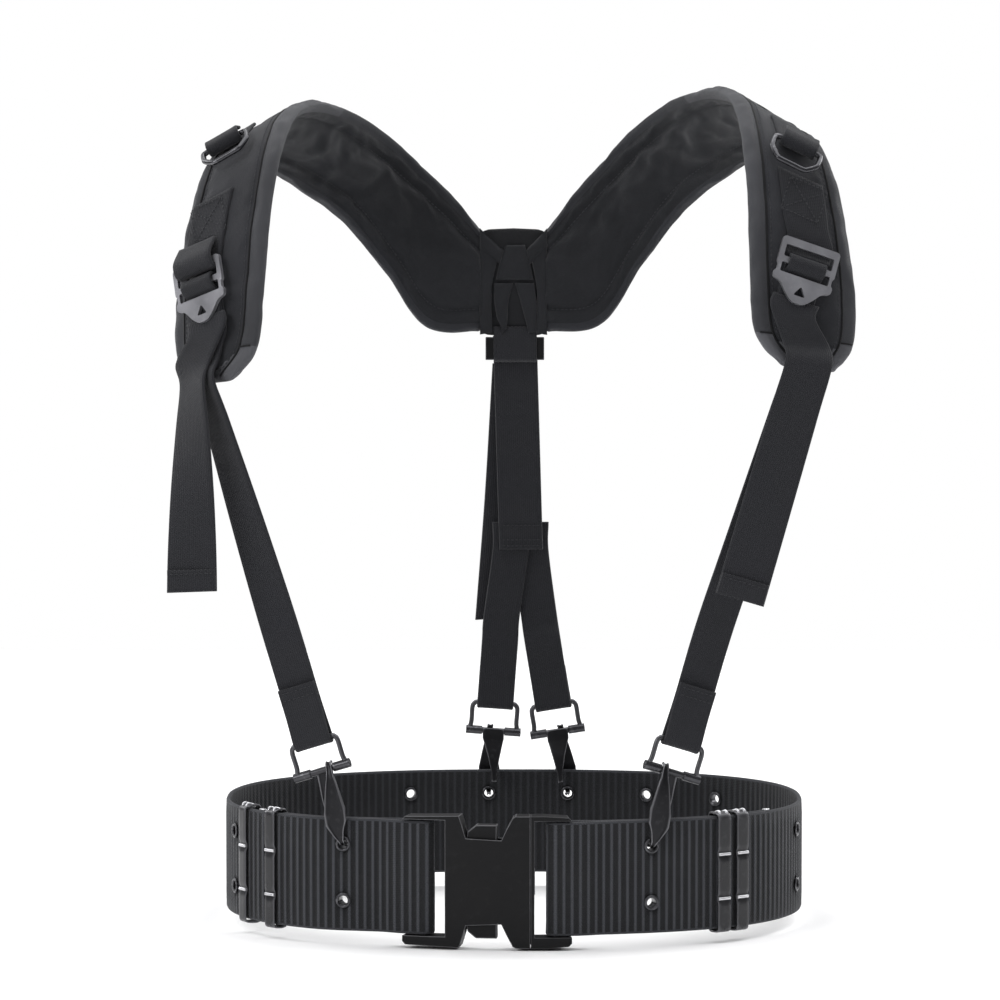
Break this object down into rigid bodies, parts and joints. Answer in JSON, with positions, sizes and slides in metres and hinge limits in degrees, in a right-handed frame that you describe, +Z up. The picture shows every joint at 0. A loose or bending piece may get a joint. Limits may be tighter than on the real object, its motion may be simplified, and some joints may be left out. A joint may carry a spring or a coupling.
{
  "type": "tool belt",
  "caption": "Padded suspender duty belt: wide webbing belt with side-release buckle, metal keepers and eyelets, held by a padded Y-back harness on snap hooks.",
  "frame": {"origin": "centre of the waist ring, on the plane of the buckle's lower edge", "axes": "+Z up towards the shoulders, -Y forwards through the buckle, +X to the viewer's right"},
  "size_m": [0.3464, 0.2361, 0.4362],
  "materials": {
    "belt_webbing": "ribbed nylon webbing",
    "strap_webbing": "flat nylon webbing",
    "pad_fabric": "quilted nylon over foam",
    "trim_fabric": "smooth coated nylon",
    "black_plastic": "moulded acetal",
    "black_metal": "black oxide",
    "satin_metal": "satin"
  },
  "bodies": {
    "root": {"belt_webbing_left": "belt_webbing", "tail_clip_left": "satin_metal", "buckle_female_housing": "black_plastic", "eyelet_front_left_top": "black_metal", "eyelet_front_left_low": "black_metal", "eyelet_rear_left_top": "black_metal", "yoke_panel": "pad_fabric", "shoulder_pad_left": "pad_fabric", "shoulder_pad_right": "pad_fabric", "shoulder_cap_left": "trim_fabric", "shoulder_cap_right": "trim_fabric", "end_patch_left": "trim_fabric", "end_patch_right": "trim_fabric", "anchor_webbing_left": "strap_webbing", "anchor_webbing_right": "strap_webbing", "d_ring_loop_left": "strap_webbing", "d_ring_loop_right": "strap_webbing", "load_strap_left": "strap_webbing", "load_strap_right": "strap_webbing", "rear_strap": "strap_webbing", "rear_slider": "black_plastic", "rear_leg_left": "strap_webbing", "rear_leg_right": "strap_webbing", "hook_front_left_loop": "black_metal", "hook_front_left_bar": "black_metal", "hook_front_left_plate": "black_metal", "hook_rear_left_loop": "black_metal", "hook_rear_left_bar": "black_metal", "hook_rear_left_plate": "black_metal"},
    "belt_right": {"belt_webbing_right": "belt_webbing", "tail_clip_right": "satin_metal", "buckle_male_frame": "black_plastic", "eyelet_front_right_top": "black_metal", "eyelet_front_right_low": "black_metal", "eyelet_rear_right_top": "black_metal", "hook_front_right_loop": "black_metal", "hook_front_right_bar": "black_metal", "hook_front_right_plate": "black_metal", "hook_rear_right_loop": "black_metal", "hook_rear_right_bar": "black_metal", "hook_rear_right_plate": "black_metal"},
    "prong_upper": {"prong_upper": "black_plastic"},
    "prong_lower": {"prong_lower": "black_plastic"},
    "keeper_left_outer": {"keeper_left_outer": "black_metal"},
    "keeper_left_inner": {"keeper_left_inner": "black_metal"},
    "keeper_right_inner": {"keeper_right_inner": "black_metal"},
    "keeper_right_outer": {"keeper_right_outer": "black_metal"},
    "d_ring_left": {"d_ring_left": "black_metal"},
    "d_ring_right": {"d_ring_right": "black_metal"},
    "adjuster_left": {"adjuster_left": "satin_metal"},
    "adjuster_right": {"adjuster_right": "satin_metal"},
    "strap_tail_left": {"strap_tail_left": "strap_webbing"},
    "strap_tail_right": {"strap_tail_right": "strap_webbing"},
    "rear_tail": {"rear_tail": "strap_webbing"},
    "hook_front_left_blade": {"hook_front_left_blade": "black_metal"},
    "hook_rear_left_blade": {"hook_rear_left_blade": "black_metal"},
    "hook_front_right_blade": {"hook_front_right_blade": "black_metal"},
    "hook_rear_right_blade": {"hook_rear_right_blade": "black_metal"}
  },
  "joints": [
    {"name": "belt_open", "type": "hinge", "parent": "root", "child": "belt_right", "pos_m": [0.008, 0.11, 0], "axis": [0, 0, 1], "range_deg": [0, 20], "deforming": ["load_strap_right", "rear_leg_right"]},
    {"name": "prong_upper_press", "type": "hinge", "parent": "belt_right", "child": "prong_upper", "pos_m": [0.00526, -0.11104, 0.048], "axis": [-0.0982, -0.9952, 0], "range_deg": [0, 5.5], "stiffness_Nm_per_rad": 1},
    {"name": "prong_lower_press", "type": "hinge", "parent": "belt_right", "child": "prong_lower", "pos_m": [0.00526, -0.11104, 0.018], "axis": [0.0982, 0.9952, 0], "range_deg": [0, 5.5], "stiffness_Nm_per_rad": 1},
    {"name": "hook_front_left_spring", "type": "hinge", "parent": "root", "child": "hook_front_left_blade", "pos_m": [-0.09646, -0.09291, 0.08624], "axis": [0.9284, -0.2184, 0.3007], "range_deg": [0, 14], "stiffness_Nm_per_rad": 0.05},
    {"name": "hook_rear_left_spring", "type": "hinge", "parent": "root", "child": "hook_rear_left_blade", "pos_m": [-0.01099, 0.11092, 0.08441], "axis": [-0.997, -0.0268, 0.0732], "range_deg": [0, 14], "stiffness_Nm_per_rad": 0.05},
    {"name": "hook_front_right_spring", "type": "hinge", "parent": "belt_right", "child": "hook_front_right_blade", "pos_m": [0.07868, -0.10058, 0.08624], "axis": [0.9186, 0.2565, -0.3007], "range_deg": [0, 14], "stiffness_Nm_per_rad": 0.05},
    {"name": "hook_rear_right_spring", "type": "hinge", "parent": "belt_right", "child": "hook_rear_right_blade", "pos_m": [0.02451, 0.11044, 0.08405], "axis": [-0.9836, 0.0806, -0.1616], "range_deg": [0, 14], "stiffness_Nm_per_rad": 0.05},
    {"name": "keeper_left_outer_slide", "type": "slide", "parent": "root", "child": "keeper_left_outer", "axis": [0.5127, -0.8585, 0], "range_m": [-0.0025, 0.0025]},
    {"name": "keeper_left_inner_slide", "type": "slide", "parent": "root", "child": "keeper_left_inner", "axis": [0.7155, -0.6987, 0], "range_m": [-0.0025, 0.0025]},
    {"name": "keeper_right_inner_slide", "type": "slide", "parent": "belt_right", "child": "keeper_right_inner", "axis": [0.8504, 0.5262, 0], "range_m": [-0.0025, 0.0025]},
    {"name": "keeper_right_outer_slide", "type": "slide", "parent": "belt_right", "child": "keeper_right_outer", "axis": [0.7905, 0.6125, 0], "range_m": [-0.0025, 0.0025]},
    {"name": "d_ring_left_swing", "type": "hinge", "parent": "root", "child": "d_ring_left", "pos_m": [-0.14755, -0.04904, 0.40216], "axis": [-0.8633, 0.1162, -0.4912], "range_deg": [0, 70]},
    {"name": "adjuster_left_tilt", "type": "hinge", "parent": "root", "child": "adjuster_left", "pos_m": [-0.15969, -0.07596, 0.33886], "axis": [-0.7836, 0.5407, -0.3061], "range_deg": [0, 30], "deforming": ["load_strap_left"]},
    {"name": "strap_tail_left_swing", "type": "hinge", "parent": "root", "child": "strap_tail_left", "pos_m": [-0.15316, -0.08528, 0.30568], "axis": [-0.7836, 0.5407, -0.3061], "range_deg": [0, 40]},
    {"name": "d_ring_right_swing", "type": "hinge", "parent": "root", "child": "d_ring_right", "pos_m": [0.1431, -0.071, 0.39977], "axis": [-0.8976, -0.0183, 0.4404], "range_deg": [0, 70]},
    {"name": "adjuster_right_tilt", "type": "hinge", "parent": "root", "child": "adjuster_right", "pos_m": [0.14793, -0.09183, 0.34772], "axis": [-0.9277, -0.2021, 0.3138], "range_deg": [0, 30], "deforming": ["load_strap_right"]},
    {"name": "strap_tail_right_swing", "type": "hinge", "parent": "root", "child": "strap_tail_right", "pos_m": [0.138, -0.09769, 0.31459], "axis": [-0.9277, -0.2021, 0.3138], "range_deg": [0, 40]},
    {"name": "rear_tail_swing", "type": "hinge", "parent": "root", "child": "rear_tail", "pos_m": [0.0008, 0.09945, 0.288], "axis": [1, 0, 0], "range_deg": [0, 35]}
  ]
}
